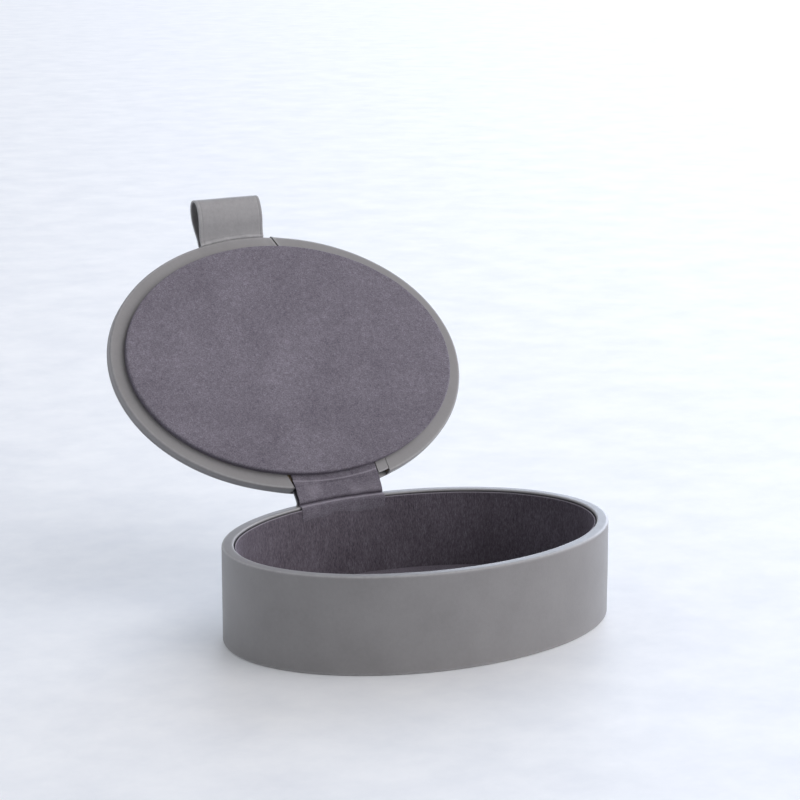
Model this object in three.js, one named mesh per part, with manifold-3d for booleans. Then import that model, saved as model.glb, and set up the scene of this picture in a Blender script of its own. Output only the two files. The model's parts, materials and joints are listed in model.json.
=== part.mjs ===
// Oval travel jewelry case: a leather-wrapped board box with a suede lining, and a padded lid on a soft
// strap hinge with a leather pull loop. Millimetres, +Z up. The origin is the centre of the underside,
// the long axis of the oval lies on X, the hinge is at the back on +Y, and the lid stands fully open.
//
// Every shell of the case is the same oval, moved in or out by a distance measured square to its edge.
// A section is therefore a list of [inset, z] points: inset is how far inside the oval's edge a point is.

import * as THREE from "three";
import { mergeVertices } from "three/addons/utils/BufferGeometryUtils.js";
import Module from "manifold-3d";

const wasm = await Module();
wasm.setup();

// ---- Driving dimensions --------------------------------------------------------------------------

const HALF_LENGTH = 80; // of the oval, along X
const HALF_WIDTH = 58.3; // of the oval, along Y
const BODY_HEIGHT = 37.3;
const LID_OVERHANG = 0.25; // the lid's oval past the body's
const LID_SEAT = 0.3; // play between the rim and the closed lid
const LID_HEIGHT = 4.2;
const LID_OPEN_ANGLE = THREE.MathUtils.degToRad(129);

const LEATHER = 0.9;
const SUEDE = 0.5;
const PLAY = 0.2; // between pieces that are glued face to face
const EDGE_ROUND = 0.9; // radius of leather turned over a board edge

const WALL_BOARD = 2.4;
const FLOOR_BOARD = 2;
const TURN_IN_DEPTH = 15.3; // leather turned down inside the wall
const BOTTOM_TURN_IN = 8.5; // leather turned under the floor
const LINING_DROP = 0.8; // the suede lining starts this far below the rim
const FLOOR_PAD_TOP = 6.2;
const FLOOR_PAD_CARD = 1;

const LID_RING = 9; // leather turned in under the lid, most of it behind the pad
const LID_PAD_INSET = 5.6;
const LID_PAD_HEIGHT = 3;
const LID_PAD_CARD = 0.9;

const HINGE_Y = HALF_WIDTH + 0.3; // where the straps bend
const HINGE_Z = BODY_HEIGHT + 3;
const STRAP_WIDTH = 39.4; // suede strap
const LEATHER_STRAP_WIDTH = 40.6;
const STRAP_SHIFT = -0.6; // both straps sit a little left of the centre line
const LID_NOTCH = 3.4; // the lid's board is cut back this far for the hinge
const NOTCH_LEFT = -21.4;
const NOTCH_RIGHT = 25.6;
const STRAP_FLAP = 11; // how far the leather strap is glued inside the lid and the wall
const SUEDE_FLAP = 12.5; // the suede strap's end inside the box
const SUEDE_BULGE = 0.8; // how far its free stretch stands forward

const TAB_WIDTH = 30.2;
const TAB_X = -5.7;
const TAB_LENGTH = 18.6; // from the lid's edge to the fold of the loop
const TAB_OPENING = 5.4; // widest gap inside the loop
const TAB_DROOP = THREE.MathUtils.degToRad(24);
const TAB_ROOT = 10.5; // glued inside the lid's edge
const SEAM_X = 12.6; // where the two edge strips meet at the front
const SEAM_SLANT = THREE.MathUtils.degToRad(20);
const SEAM_GAP = 0.35;

const STATIONS = 72; // facets round the oval

const LID_BOTTOM = BODY_HEIGHT + LID_SEAT;
const LID_TOP = LID_BOTTOM + LID_HEIGHT;

// ---- Materials -----------------------------------------------------------------------------------

const grey = (color, roughness) => new THREE.MeshStandardMaterial({ color, roughness, metalness: 0 });

const leather = grey(0x858486, 0.5);
const darkLeather = grey(0x77767a, 0.55);
const suede = grey(0x6f6873, 0.95);
const card = grey(0x9a8f80, 0.9);
const board = grey(0xa08e74, 0.85);
const foam = grey(0xcfcbc6, 1);
const baseCloth = grey(0x4b484d, 0.95);

// ---- Helpers -------------------------------------------------------------------------------------

// A point of the oval at an angle, moved inwards by inset square to the edge.
function ovalPoint(angle, inset) {
  const x = HALF_LENGTH * Math.cos(angle);
  const y = HALF_WIDTH * Math.sin(angle);
  const normal = new THREE.Vector2(HALF_WIDTH * Math.cos(angle), HALF_LENGTH * Math.sin(angle)).normalize();
  return new THREE.Vector2(x - inset * normal.x, y - inset * normal.y);
}

// A closed section of [inset, z] points swept round the oval. It is turned as a lathe, and each vertex is
// then moved from its circle onto the oval. null as an inset is the middle of a disc.
function ovalRing(section) {
  const spokes = section.map(([inset, z]) => new THREE.Vector2(inset === null ? 0 : HALF_LENGTH - inset, z));
  const isDisc = section[0][0] === null;
  const geometry = new THREE.LatheGeometry(isDisc ? spokes : [...spokes, spokes[0]], STATIONS);
  const position = geometry.attributes.position;
  for (let i = 0; i < position.count; i += 1) {
    const [x, z] = [position.getX(i), -position.getZ(i)];
    const radius = Math.hypot(x, z);
    const onOval = ovalPoint(Math.atan2(z, x), HALF_LENGTH - radius);
    const moved = radius < 1e-3 ? new THREE.Vector2(0, 0) : onOval;
    position.setXYZ(i, moved.x, moved.y, position.getY(i));
  }
  return geometry;
}

// A flat disc of the oval between two heights.
const ovalDisc = (inset, low, high) => ovalRing([[null, low], [inset, low], [inset, high], [null, high]]);

// A plain band of the oval between two insets and two heights.
function ovalBand(outer, inner, low, high) {
  return ovalRing([[inner, low], [outer, low], [outer, high], [inner, high]]);
}

function boxBetween(low, high) {
  const size = high.map((value, axis) => value - low[axis]);
  const middle = high.map((value, axis) => (value + low[axis]) / 2);
  return new THREE.BoxGeometry(...size).translate(...middle);
}

function toSolid(geometry) {
  const bare = geometry.clone();
  bare.deleteAttribute("normal");
  bare.deleteAttribute("uv");
  const merged = mergeVertices(bare, 1e-4);
  return new wasm.Manifold(
    new wasm.Mesh({
      numProp: 3,
      vertProperties: new Float32Array(merged.attributes.position.array),
      triVerts: new Uint32Array(merged.index.array),
    }),
  );
}

function toGeometry(solid) {
  const mesh = solid.getMesh();
  const geometry = new THREE.BufferGeometry();
  geometry.setAttribute("position", new THREE.BufferAttribute(mesh.vertProperties, 3));
  geometry.setIndex(new THREE.BufferAttribute(mesh.triVerts, 1));
  geometry.computeVertexNormals();
  return geometry;
}

const cut = (body, ...tools) => toGeometry(tools.reduce((left, tool) => left.subtract(toSolid(tool)), toSolid(body)));
const common = (one, other) => toGeometry(toSolid(one).intersect(toSolid(other)));

// A sheet stretched between two curves across the hinge. edge(x, share) gives its middle surface as a
// Vector3, for x across the strap and share 0 to 1 along it. The sheet's thickness is square to its path.
function strapSheet(width, thickness, edge, across = 12, along = 4) {
  const geometry = new THREE.BoxGeometry(1, 1, 1, across, along, 1);
  const position = geometry.attributes.position;
  const STEP = 1e-3;
  for (let i = 0; i < position.count; i += 1) {
    const x = STRAP_SHIFT + position.getX(i) * width;
    const share = position.getY(i) + 0.5;
    const here = edge(x, share);
    const path = edge(x, share + STEP).sub(edge(x, share - STEP)).setX(0).normalize();
    const side = new THREE.Vector3(0, -path.z, path.y).multiplyScalar(position.getZ(i) * thickness);
    const moved = here.add(side);
    position.setXYZ(i, moved.x, moved.y, moved.z);
  }
  return geometry;
}

// A point on the back of the case, at x across it.
function backPoint(x, inset, z) {
  const point = ovalPoint(Math.acos(x / HALF_LENGTH), inset);
  return new THREE.Vector3(x, point.y, z);
}

// The same point after the lid has swung open.
function onOpenLid(point) {
  const hinge = new THREE.Vector3(0, HINGE_Y, HINGE_Z);
  return point.sub(hinge).applyAxisAngle(new THREE.Vector3(1, 0, 0), -LID_OPEN_ANGLE).add(hinge);
}

// ---- Groups --------------------------------------------------------------------------------------

const jewelryCase = new THREE.Group();
const bodyGroup = new THREE.Group();

// Pieces of the lid are drawn closed. This group swings them open about the hinge line.
const lidSwing = new THREE.Group();
lidSwing.position.set(0, HINGE_Y, HINGE_Z);
lidSwing.rotation.x = -LID_OPEN_ANGLE;
const lidGroup = new THREE.Group();
lidGroup.position.set(0, -HINGE_Y, -HINGE_Z);
lidSwing.add(lidGroup);
jewelryCase.add(bodyGroup, lidSwing);

function addPiece(group, name, geometry, material) {
  const piece = new THREE.Mesh(geometry, material);
  piece.name = name;
  group.add(piece);
  return piece;
}

// ---- Body ----------------------------------------------------------------------------------------

const WALL_OUT = LEATHER + PLAY;
const WALL_IN = WALL_OUT + WALL_BOARD;
const TURN_IN_OUT = WALL_IN + PLAY;
const RIM_IN = TURN_IN_OUT + LEATHER;
const LINING_OUT = RIM_IN + PLAY;
const LINING_IN = LINING_OUT + SUEDE;
const FLOOR_LOW = LEATHER + PLAY;
const FLOOR_HIGH = FLOOR_LOW + FLOOR_BOARD;
const WALL_TOP = BODY_HEIGHT - LEATHER - PLAY;
const TURN_IN_LOW = BODY_HEIGHT - TURN_IN_DEPTH;
const STRAP_MIDDLE = WALL_OUT + LEATHER / 2 + PLAY; // inset of the leather strap inside the wall

// The strap's slot in the wall: from its buried end up through the rim.
function wallSlot(spare) {
  const low = WALL_TOP - STRAP_FLAP - spare;
  const path = (x, share) => backPoint(x, STRAP_MIDDLE, low + share * (BODY_HEIGHT + 1 - low));
  return strapSheet(LEATHER_STRAP_WIDTH + 2 * spare, LEATHER + 2 * spare, path);
}

function bodyWrap() {
  const r = EDGE_ROUND;
  const soft = r * (1 - Math.SQRT1_2); // middle point of a rounded corner
  const section = [
    [BOTTOM_TURN_IN, 0],
    [r, 0],
    [soft, soft],
    [0, r],
    [0, BODY_HEIGHT - r],
    [soft, BODY_HEIGHT - soft],
    [r, BODY_HEIGHT],
    [RIM_IN - r, BODY_HEIGHT],
    [RIM_IN - soft, BODY_HEIGHT - soft],
    [RIM_IN, BODY_HEIGHT - r],
    [RIM_IN, TURN_IN_LOW],
    [TURN_IN_OUT, TURN_IN_LOW],
    [TURN_IN_OUT, BODY_HEIGHT - LEATHER],
    [LEATHER, BODY_HEIGHT - LEATHER],
    [LEATHER, LEATHER],
    [BOTTOM_TURN_IN, LEATHER],
  ];
  return cut(ovalRing(section), wallSlot(PLAY));
}

// The suede lining leaves a window at the back, where the suede strap is let in flush.
function wallLining() {
  const top = BODY_HEIGHT - LINING_DROP;
  const half = STRAP_WIDTH / 2 + PLAY;
  const low = top - SUEDE_FLAP - PLAY;
  const window = boxBetween([STRAP_SHIFT - half, 0, low], [STRAP_SHIFT + half, HALF_WIDTH, BODY_HEIGHT]);
  return cut(ovalBand(LINING_OUT, LINING_IN, FLOOR_HIGH + PLAY, top), window);
}

// A padded cover: a shallow cup of cloth over a card and its foam.
function coverCup(inset, base, face) {
  const up = Math.sign(face - base);
  const soft = 0.6 * up;
  const section = [
    [null, face - SUEDE * up],
    [inset + SUEDE, face - SUEDE * up],
    [inset + SUEDE, base],
    [inset, base],
    [inset, face - soft],
    [inset + 0.2, face - soft / 3],
    [inset + 0.6, face],
    [null, face],
  ];
  return ovalRing(up > 0 ? section : section.reverse());
}

addPiece(bodyGroup, "base_floor_board", ovalDisc(WALL_IN + PLAY, FLOOR_LOW, FLOOR_HIGH), board);
addPiece(bodyGroup, "base_wall_board", cut(ovalBand(WALL_OUT, WALL_IN, FLOOR_LOW, WALL_TOP), wallSlot(PLAY)), board);
addPiece(bodyGroup, "body_leather_wrap", bodyWrap(), leather);
addPiece(bodyGroup, "bottom_cover", ovalDisc(BOTTOM_TURN_IN + PLAY, 0, LEATHER), baseCloth);

const fillerTop = TURN_IN_LOW - PLAY;
addPiece(bodyGroup, "wall_filler_card", ovalBand(TURN_IN_OUT, RIM_IN, FLOOR_HIGH + PLAY, fillerTop), card);
addPiece(bodyGroup, "wall_lining_suede", wallLining(), suede);

const padInset = LINING_IN + PLAY;
const cardInset = padInset + SUEDE + PLAY;
const padBase = FLOOR_HIGH + PLAY;
const cardTop = padBase + FLOOR_PAD_CARD;
addPiece(bodyGroup, "floor_pad_card", ovalDisc(cardInset, padBase, cardTop), card);
addPiece(bodyGroup, "floor_pad_foam", ovalDisc(cardInset, cardTop + PLAY, FLOOR_PAD_TOP - SUEDE - PLAY), foam);
addPiece(bodyGroup, "floor_pad_suede", coverCup(padInset, padBase, FLOOR_PAD_TOP), suede);

// ---- Lid, drawn closed ---------------------------------------------------------------------------

const LID_OUT = -LID_OVERHANG;
const RING_TOP = LID_BOTTOM + LEATHER;
const SKIN_LOW = LID_TOP - LEATHER;
const CORE_LOW = RING_TOP + PLAY;
const CORE_HIGH = SKIN_LOW - PLAY;
const CORE_OUT = LID_OUT + LEATHER + PLAY;
const PAD_BASE = LID_BOTTOM - PLAY - 0.2;
const PAD_FACE = LID_BOTTOM - LID_PAD_HEIGHT;
const FAR = 100; // past everything

// The hinge's cut-out in the leather under the lid, and the deeper notch in its board.
const hingeCutOut = boxBetween([NOTCH_LEFT, 0, 0], [NOTCH_RIGHT, FAR, LID_TOP]);
const hingeNotch = common(
  boxBetween([NOTCH_LEFT, 0, 0], [NOTCH_RIGHT, FAR, LID_TOP + 1]),
  ovalBand(LID_OUT - 5, LID_NOTCH, LID_BOTTOM - 1, LID_TOP + 1),
);

const rootLow = RING_TOP + PLAY;
const rootHigh = CORE_HIGH;
function tabSlot(spare) {
  const half = TAB_WIDTH / 2 + spare;
  const back = -HALF_WIDTH + TAB_ROOT + spare;
  return boxBetween([TAB_X - half, -FAR, rootLow - spare], [TAB_X + half, back, rootHigh + 2 * spare]);
}

// The leather strap's flap lies in the top of the board, under the top leather.
const flapHeight = CORE_HIGH - LEATHER / 2;
function lidStrapFlap(spare) {
  const inner = LID_NOTCH + STRAP_FLAP + spare;
  const path = (x, share) => backPoint(x, inner * (1 - share) + 0.6 * share, flapHeight);
  return strapSheet(LEATHER_STRAP_WIDTH + 2 * spare, LEATHER + 2 * spare, path);
}

function lidBoard() {
  const stepped = ovalRing([
    [null, LID_BOTTOM + PLAY],
    [LID_RING + PLAY, LID_BOTTOM + PLAY],
    [LID_RING + PLAY, CORE_LOW],
    [CORE_OUT, CORE_LOW],
    [CORE_OUT, CORE_HIGH],
    [null, CORE_HIGH],
  ]);
  return cut(stepped, hingeNotch, tabSlot(PLAY), lidStrapFlap(PLAY));
}

// The leather strips round the lid's edge, turned in under it: one ring with a butt seam at the front,
// slanted, and a cut-out at the back for the hinge. They come apart as a left and a right strip.
function edgeStrips() {
  const r = EDGE_ROUND;
  const soft = r * (1 - Math.SQRT1_2);
  const ring = ovalRing([
    [LID_RING, LID_BOTTOM],
    [LID_OUT + r, LID_BOTTOM],
    [LID_OUT + soft, LID_BOTTOM + soft],
    [LID_OUT, LID_BOTTOM + r],
    [LID_OUT, SKIN_LOW - PLAY],
    [LID_OUT + LEATHER, SKIN_LOW - PLAY],
    [LID_OUT + LEATHER, RING_TOP],
    [LID_RING, RING_TOP],
  ]);
  const seam = new THREE.BoxGeometry(SEAM_GAP, HALF_WIDTH / 2, 2 * LID_HEIGHT);
  seam.rotateZ(-SEAM_SLANT).translate(SEAM_X, -HALF_WIDTH, LID_BOTTOM);
  const apart = toSolid(cut(ring, hingeCutOut, tabSlot(PLAY), seam)).decompose();
  return apart.map(toGeometry).sort((one, other) => middleX(one) - middleX(other));
}

function middleX(geometry) {
  geometry.computeBoundingBox();
  return geometry.boundingBox.min.x + geometry.boundingBox.max.x;
}

function lidTopLeather() {
  const r = EDGE_ROUND - PLAY;
  const soft = r * (1 - Math.SQRT1_2);
  return ovalRing([
    [null, SKIN_LOW],
    [LID_OUT, SKIN_LOW],
    [LID_OUT, LID_TOP - r],
    [LID_OUT + soft, LID_TOP - soft],
    [LID_OUT + r, LID_TOP],
    [null, LID_TOP],
  ]);
}

const lidCardInset = LID_PAD_INSET + SUEDE + PLAY;
const lidCardLow = PAD_BASE - LID_PAD_CARD;
const facingInset = LID_RING;
const facingLow = RING_TOP - SUEDE + PLAY / 2;
const facingBlock = boxBetween([NOTCH_LEFT + PLAY, 0, 0], [NOTCH_RIGHT - PLAY, FAR, FAR]);
const suedeHeight = facingLow - PLAY - SUEDE / 2;
const suedeOnLid = (x, share) => backPoint(x, LID_NOTCH + (1 - share) * (facingInset - LID_NOTCH), suedeHeight);

addPiece(lidGroup, "lid_board", lidBoard(), board);
addPiece(lidGroup, "lid_top_leather", lidTopLeather(), leather);
const [leftStrip, rightStrip] = edgeStrips();
addPiece(lidGroup, "lid_edge_strip_left", leftStrip, leather);
addPiece(lidGroup, "lid_edge_strip_right", rightStrip, leather);
addPiece(lidGroup, "lid_pad_card", ovalDisc(lidCardInset, lidCardLow, PAD_BASE), card);
addPiece(lidGroup, "lid_pad_foam", ovalDisc(lidCardInset, PAD_FACE + SUEDE + PLAY, lidCardLow - PLAY), foam);
addPiece(lidGroup, "lid_pad_suede", coverCup(LID_PAD_INSET, PAD_BASE, PAD_FACE), suede);

const facingBand = ovalBand(LID_NOTCH, facingInset, facingLow, CORE_LOW - PLAY);
addPiece(lidGroup, "lid_hinge_facing", common(facingBand, facingBlock), leather);

// ---- Hinge straps --------------------------------------------------------------------------------

const liningTop = BODY_HEIGHT - LINING_DROP;
const flapMiddle = LINING_OUT + SUEDE / 2;
const suedeInBox = (x, share) => backPoint(x, flapMiddle, liningTop - SUEDE_FLAP * (1 - share));
const leatherFlapLow = WALL_TOP - STRAP_FLAP;
const leatherInWall = (x, share) => backPoint(x, STRAP_MIDDLE, leatherFlapLow + share * (BODY_HEIGHT - leatherFlapLow));

// A strap's free stretch, from the end of its flap in the body to the end of its flap on the open lid.
// Both ends stop a little short of the flaps, and the middle stands forward by bulge.
function freeStretch(low, high, bulge) {
  const SHORT = 0.07;
  return (x, share) => {
    const whole = SHORT + share * (1 - 2 * SHORT);
    const point = low(x).lerp(high(x), whole);
    return point.setY(point.y - bulge * Math.sin(Math.PI * whole));
  };
}

const leatherWebLow = (x) => backPoint(x, STRAP_MIDDLE, BODY_HEIGHT);
const leatherWebHigh = (x) => onOpenLid(backPoint(x, 0.6, flapHeight));
const suedeWebLow = (x) => backPoint(x, flapMiddle, liningTop);
const suedeWebHigh = (x) => onOpenLid(suedeOnLid(x, 1));

addPiece(bodyGroup, "hinge_leather_base_flap", strapSheet(LEATHER_STRAP_WIDTH, LEATHER, leatherInWall), darkLeather);
addPiece(lidGroup, "hinge_leather_lid_flap", lidStrapFlap(0), darkLeather);
addPiece(
  bodyGroup,
  "hinge_leather_web",
  strapSheet(LEATHER_STRAP_WIDTH, LEATHER, freeStretch(leatherWebLow, leatherWebHigh, 0)),
  darkLeather,
);
addPiece(bodyGroup, "hinge_suede_base_flap", strapSheet(STRAP_WIDTH, SUEDE, suedeInBox), suede);
addPiece(lidGroup, "hinge_suede_lid_flap", strapSheet(STRAP_WIDTH, SUEDE, suedeOnLid), suede);
addPiece(
  bodyGroup,
  "hinge_suede_web",
  strapSheet(STRAP_WIDTH, SUEDE, freeStretch(suedeWebLow, suedeWebHigh, SUEDE_BULGE)),
  suede,
);

// ---- Pull tab ------------------------------------------------------------------------------------

// The tab is one leather strip folded in half. Its two ends are glued together inside the lid's edge,
// and the rest opens into a loop, fattest near the fold.
const tabMiddle = (rootLow + rootHigh) / 2;
const TAB_START = 1.4; // the loop begins this far out from the lid's edge, clear of it when it swings

// Half of the loop's side view, from its root to its fold, as [distance out, half height] at the inner face.
const LOOP_SIDE = [
  [0.17, 0.1],
  [0.33, 0.58],
  [0.6, 1],
  [0.84, 0.82],
  [0.93, 0.42],
];

// The loop's side view, moved outwards by offset from its inner face. It starts at rootX, as high as root.
function tabLoopOutline(offset, rootX, root) {
  const half = TAB_OPENING / 2;
  const inner = LOOP_SIDE.map(([out, high]) => new THREE.Vector2(out * TAB_LENGTH, high * half + offset));
  const fold = new THREE.Vector2(TAB_LENGTH - LEATHER + offset, 0);
  const upper = new THREE.SplineCurve([new THREE.Vector2(rootX, root), ...inner, fold]).getPoints(14);
  const lower = upper.map((point) => new THREE.Vector2(point.x, -point.y));
  return [...lower, ...upper.slice(0, -1).reverse()];
}

function tabLoop() {
  const shape = new THREE.Shape(tabLoopOutline(LEATHER, TAB_START, LEATHER));
  shape.holes.push(new THREE.Path(tabLoopOutline(0, TAB_START + 1.2, PLAY / 4)));
  const loop = new THREE.ExtrudeGeometry(shape, { depth: TAB_WIDTH, bevelEnabled: false });
  loop.translate(0, 0, -TAB_WIDTH / 2);
  const outwards = new THREE.Vector3(0, -1, 0);
  const upwards = new THREE.Vector3(0, 0, 1);
  const across = new THREE.Vector3(-1, 0, 0);
  return loop.applyMatrix4(new THREE.Matrix4().makeBasis(outwards, upwards, across));
}

addPiece(
  lidGroup,
  "pull_tab_root",
  boxBetween(
    [TAB_X - TAB_WIDTH / 2, -HALF_WIDTH + 1.5, rootLow],
    [TAB_X + TAB_WIDTH / 2, -HALF_WIDTH + TAB_ROOT, rootHigh],
  ),
  darkLeather,
);
const pullTab = addPiece(lidGroup, "pull_tab_loop", tabLoop(), leather);
pullTab.position.set(TAB_X, -HALF_WIDTH, tabMiddle);
pullTab.rotation.x = TAB_DROOP;

export default jewelryCase;
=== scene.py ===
# %% [markdown]
# # An oval travel jewelry case in leather and suede
#
# The case is a small oval box of board, wrapped in smooth grey leather and lined with suede. Its padded lid
# hangs on a soft strap hinge and has a folded leather pull loop at the front. The CAD model holds the sizes,
# the pieces and the joints. This lesson keeps those fixed and makes the visible skins round it: every
# leather and suede piece is built as a mesh from its real section, and then gets its finish.

# %% Load the CAD model
import json
import math

import bmesh
import bpy
import numpy as np
from mathutils import Matrix, Vector, noise

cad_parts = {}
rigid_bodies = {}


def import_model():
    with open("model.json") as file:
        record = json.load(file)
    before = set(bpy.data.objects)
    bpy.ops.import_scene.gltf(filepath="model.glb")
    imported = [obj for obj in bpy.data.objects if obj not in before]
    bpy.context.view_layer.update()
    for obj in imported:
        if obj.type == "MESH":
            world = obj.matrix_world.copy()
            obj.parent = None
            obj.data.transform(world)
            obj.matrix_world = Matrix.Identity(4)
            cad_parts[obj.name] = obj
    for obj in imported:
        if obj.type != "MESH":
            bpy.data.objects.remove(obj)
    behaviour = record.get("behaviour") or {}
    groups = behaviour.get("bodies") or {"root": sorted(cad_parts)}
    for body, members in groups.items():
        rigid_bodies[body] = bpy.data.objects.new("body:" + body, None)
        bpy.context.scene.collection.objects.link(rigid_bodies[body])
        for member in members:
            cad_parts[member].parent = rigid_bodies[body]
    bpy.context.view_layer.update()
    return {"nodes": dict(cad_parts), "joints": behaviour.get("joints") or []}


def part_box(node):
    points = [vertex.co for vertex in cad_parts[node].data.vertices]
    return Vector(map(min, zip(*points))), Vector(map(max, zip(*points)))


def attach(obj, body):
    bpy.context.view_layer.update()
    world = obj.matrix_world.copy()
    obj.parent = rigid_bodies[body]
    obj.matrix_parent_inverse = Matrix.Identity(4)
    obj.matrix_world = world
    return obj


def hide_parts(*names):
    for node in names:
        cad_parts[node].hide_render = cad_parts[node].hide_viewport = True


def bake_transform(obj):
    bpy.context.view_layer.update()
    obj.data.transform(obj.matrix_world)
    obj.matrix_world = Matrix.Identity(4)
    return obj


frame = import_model()

# %% [markdown]
# ## Sizes
#
# Shapes are worked out in millimetres, because leather goods are, and turned to metres when a mesh is
# made. The sizes of the case come from the boxes of its CAD nodes. Insets are measured inwards from the
# case's outer oval, so the lid's edge, which stands out past it, has an inset below 0.

# %% Sizes from the CAD nodes
MM = 0.001

wrap_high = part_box("body_leather_wrap")[1]
HALF_LENGTH = wrap_high.x / MM
HALF_WIDTH = wrap_high.y / MM
BODY_HEIGHT = wrap_high.z / MM

LEATHER = 0.9
SUEDE = 0.5
RIM_WIDTH = 4.6
TURN_IN_DEPTH = 15.3
BOTTOM_TURN_IN = 8.5
FLOOR_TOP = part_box("base_floor_board")[1].z / MM
FLOOR_PAD_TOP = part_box("floor_pad_suede")[1].z / MM
LINING_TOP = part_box("wall_lining_suede")[1].z / MM
LINING_FACE = 5.3

LID_SEAT = 0.3
LID_HEIGHT = 4.2
LID_BOTTOM = BODY_HEIGHT + LID_SEAT
LID_TOP = LID_BOTTOM + LID_HEIGHT
LID_EDGE = -0.25
LID_RING = 9
LID_PAD_INSET = 5.6
LID_PAD_HEIGHT = 3
LID_PAD_FACE = LID_BOTTOM - LID_PAD_HEIGHT

print(f"case {2 * HALF_LENGTH:.1f} x {2 * HALF_WIDTH:.1f} x {BODY_HEIGHT:.1f} mm")

# %% [markdown]
# The lid stands open, leaning back on its straps. It is easier to draw closed, lying flat over the box, and
# then to swing every point open about the hinge line. The hinge joint says where that line is, and its
# range says how far the lid swings.

# %% The lid's swing
hinge_joint = next(joint for joint in frame["joints"] if joint["name"] == "lid_hinge")
HINGE = Vector(hinge_joint["pos_m"]) / MM
OPEN_ANGLE = -math.radians(hinge_joint["range_deg"][1])
hinge_turn = Matrix.Rotation(OPEN_ANGLE, 4, "X")
swing_open = Matrix.Translation(HINGE) @ hinge_turn @ Matrix.Translation(-HINGE)


def moved(points, matrix):
    """An array of points, in any shape of rows, moved by a 4 x 4 matrix."""
    turn = np.array(matrix)
    return points @ turn[:3, :3].T + turn[:3, 3]


print(f"lid leans back {math.degrees(-OPEN_ANGLE) - 90:.0f} degrees past upright")

# %% [markdown]
# ## Camera
#
# A long lens from the front left, a little above the case, looks into the box and at the lid's lining.

# %% Camera
AZIMUTH = math.radians(-33.56)
ELEVATION = math.radians(12.38)
DISTANCE = 0.9553
TARGET = Vector((-0.0085, 0, 0.08873))

back = Vector(
    (
        math.sin(AZIMUTH) * math.cos(ELEVATION),
        -math.cos(AZIMUTH) * math.cos(ELEVATION),
        math.sin(ELEVATION),
    )
)
camera = bpy.data.objects.new("camera", bpy.data.cameras.new("camera"))
camera.data.sensor_width = 36
camera.data.lens = 114.14
camera.location = TARGET + back * DISTANCE
camera.rotation_mode = "QUATERNION"
camera.rotation_quaternion = (-back).to_track_quat("-Z", "Y")
bpy.context.scene.collection.objects.link(camera)
bpy.context.scene.camera = camera
print("camera at", [round(value, 3) for value in camera.location])

# %% [markdown]
# ## Building materials from nodes
#
# One function adds a node with its settings and its links. Another turns the hex colours that people
# use, which are sRGB, into the linear values that shaders work in. The rest are short recipes made with
# the first: a noise of a given size in millimetres, a value stretched to another range, a blend of two
# colours, a weighted sum, and a height turned into relief.


# %% Node helpers
def linear(hex_colour):
    """An sRGB colour such as #8a888b as linear red, green, blue and alpha."""
    values = [int(hex_colour[i : i + 2], 16) / 255 for i in (1, 3, 5)]
    return [v / 12.92 if v <= 0.04045 else ((v + 0.055) / 1.055) ** 2.4 for v in values] + [1]


def add(tree, kind, inputs=(), **settings):
    """Adds a node. inputs maps a socket's name or number to a value, or to the socket that feeds it."""
    node = tree.nodes.new(kind)
    for name, value in settings.items():
        setattr(node, name, value)
    for key, value in dict(inputs).items():
        if isinstance(value, bpy.types.NodeSocket):
            tree.links.new(value, node.inputs[key])
        else:
            node.inputs[key].default_value = value
    return node


def new_material(name):
    """An empty material: its node tree, its shader, and its place on the object in millimetres."""
    material = bpy.data.materials.new(name)
    material.use_nodes = True
    tree = material.node_tree
    tree.nodes.clear()
    shader = add(tree, "ShaderNodeBsdfPrincipled")
    add(tree, "ShaderNodeOutputMaterial", {"Surface": shader.outputs[0]})
    place = add(tree, "ShaderNodeTexCoord").outputs["Object"]
    millimetres = add(tree, "ShaderNodeVectorMath", {0: place, "Scale": 1 / MM}, operation="SCALE")
    return material, tree, shader, millimetres.outputs[0]


def noise_of(tree, place, size, detail=2.0, roughness=0.5, stretch=(1, 1, 1)):
    """A noise whose lumps are about size millimetres across, longer where stretch is over 1."""
    scale = [1 / (size * value) for value in stretch]
    spot = add(tree, "ShaderNodeVectorMath", {0: place, 1: scale}, operation="MULTIPLY")
    settings = {"Vector": spot.outputs[0], "Scale": 1.0, "Detail": detail, "Roughness": roughness}
    return add(tree, "ShaderNodeTexNoise", settings).outputs["Fac"]


def spread(tree, value, low, high, to_low=0.0, to_high=1.0):
    """A value's range low to high, stretched to another range."""
    settings = {"Value": value, "From Min": low, "From Max": high, "To Min": to_low, "To Max": to_high}
    return add(tree, "ShaderNodeMapRange", settings).outputs[0]


def blend_colour(tree, share, one, other):
    """A colour between two others."""
    mix = add(tree, "ShaderNodeMix", {0: share, 6: one, 7: other}, data_type="RGBA")
    return mix.outputs[2]


def total(tree, *parts):
    """The sum of values, each given as (socket, weight)."""
    height = 0.0
    for socket, weight in parts:
        inputs = {0: socket, 1: weight, 2: height}
        height = add(tree, "ShaderNodeMath", inputs, operation="MULTIPLY_ADD").outputs[0]
    return height


def set_bump(tree, shader, height, depth):
    """Turns a height of 0 to 1 into relief that is depth millimetres deep."""
    inputs = {"Height": height, "Distance": depth * MM, "Strength": 1.0}
    bump = add(tree, "ShaderNodeBump", inputs)
    tree.links.new(bump.outputs[0], shader.inputs["Normal"])


print("mid grey is", round(linear("#808080")[0], 3), "in linear light")
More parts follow.
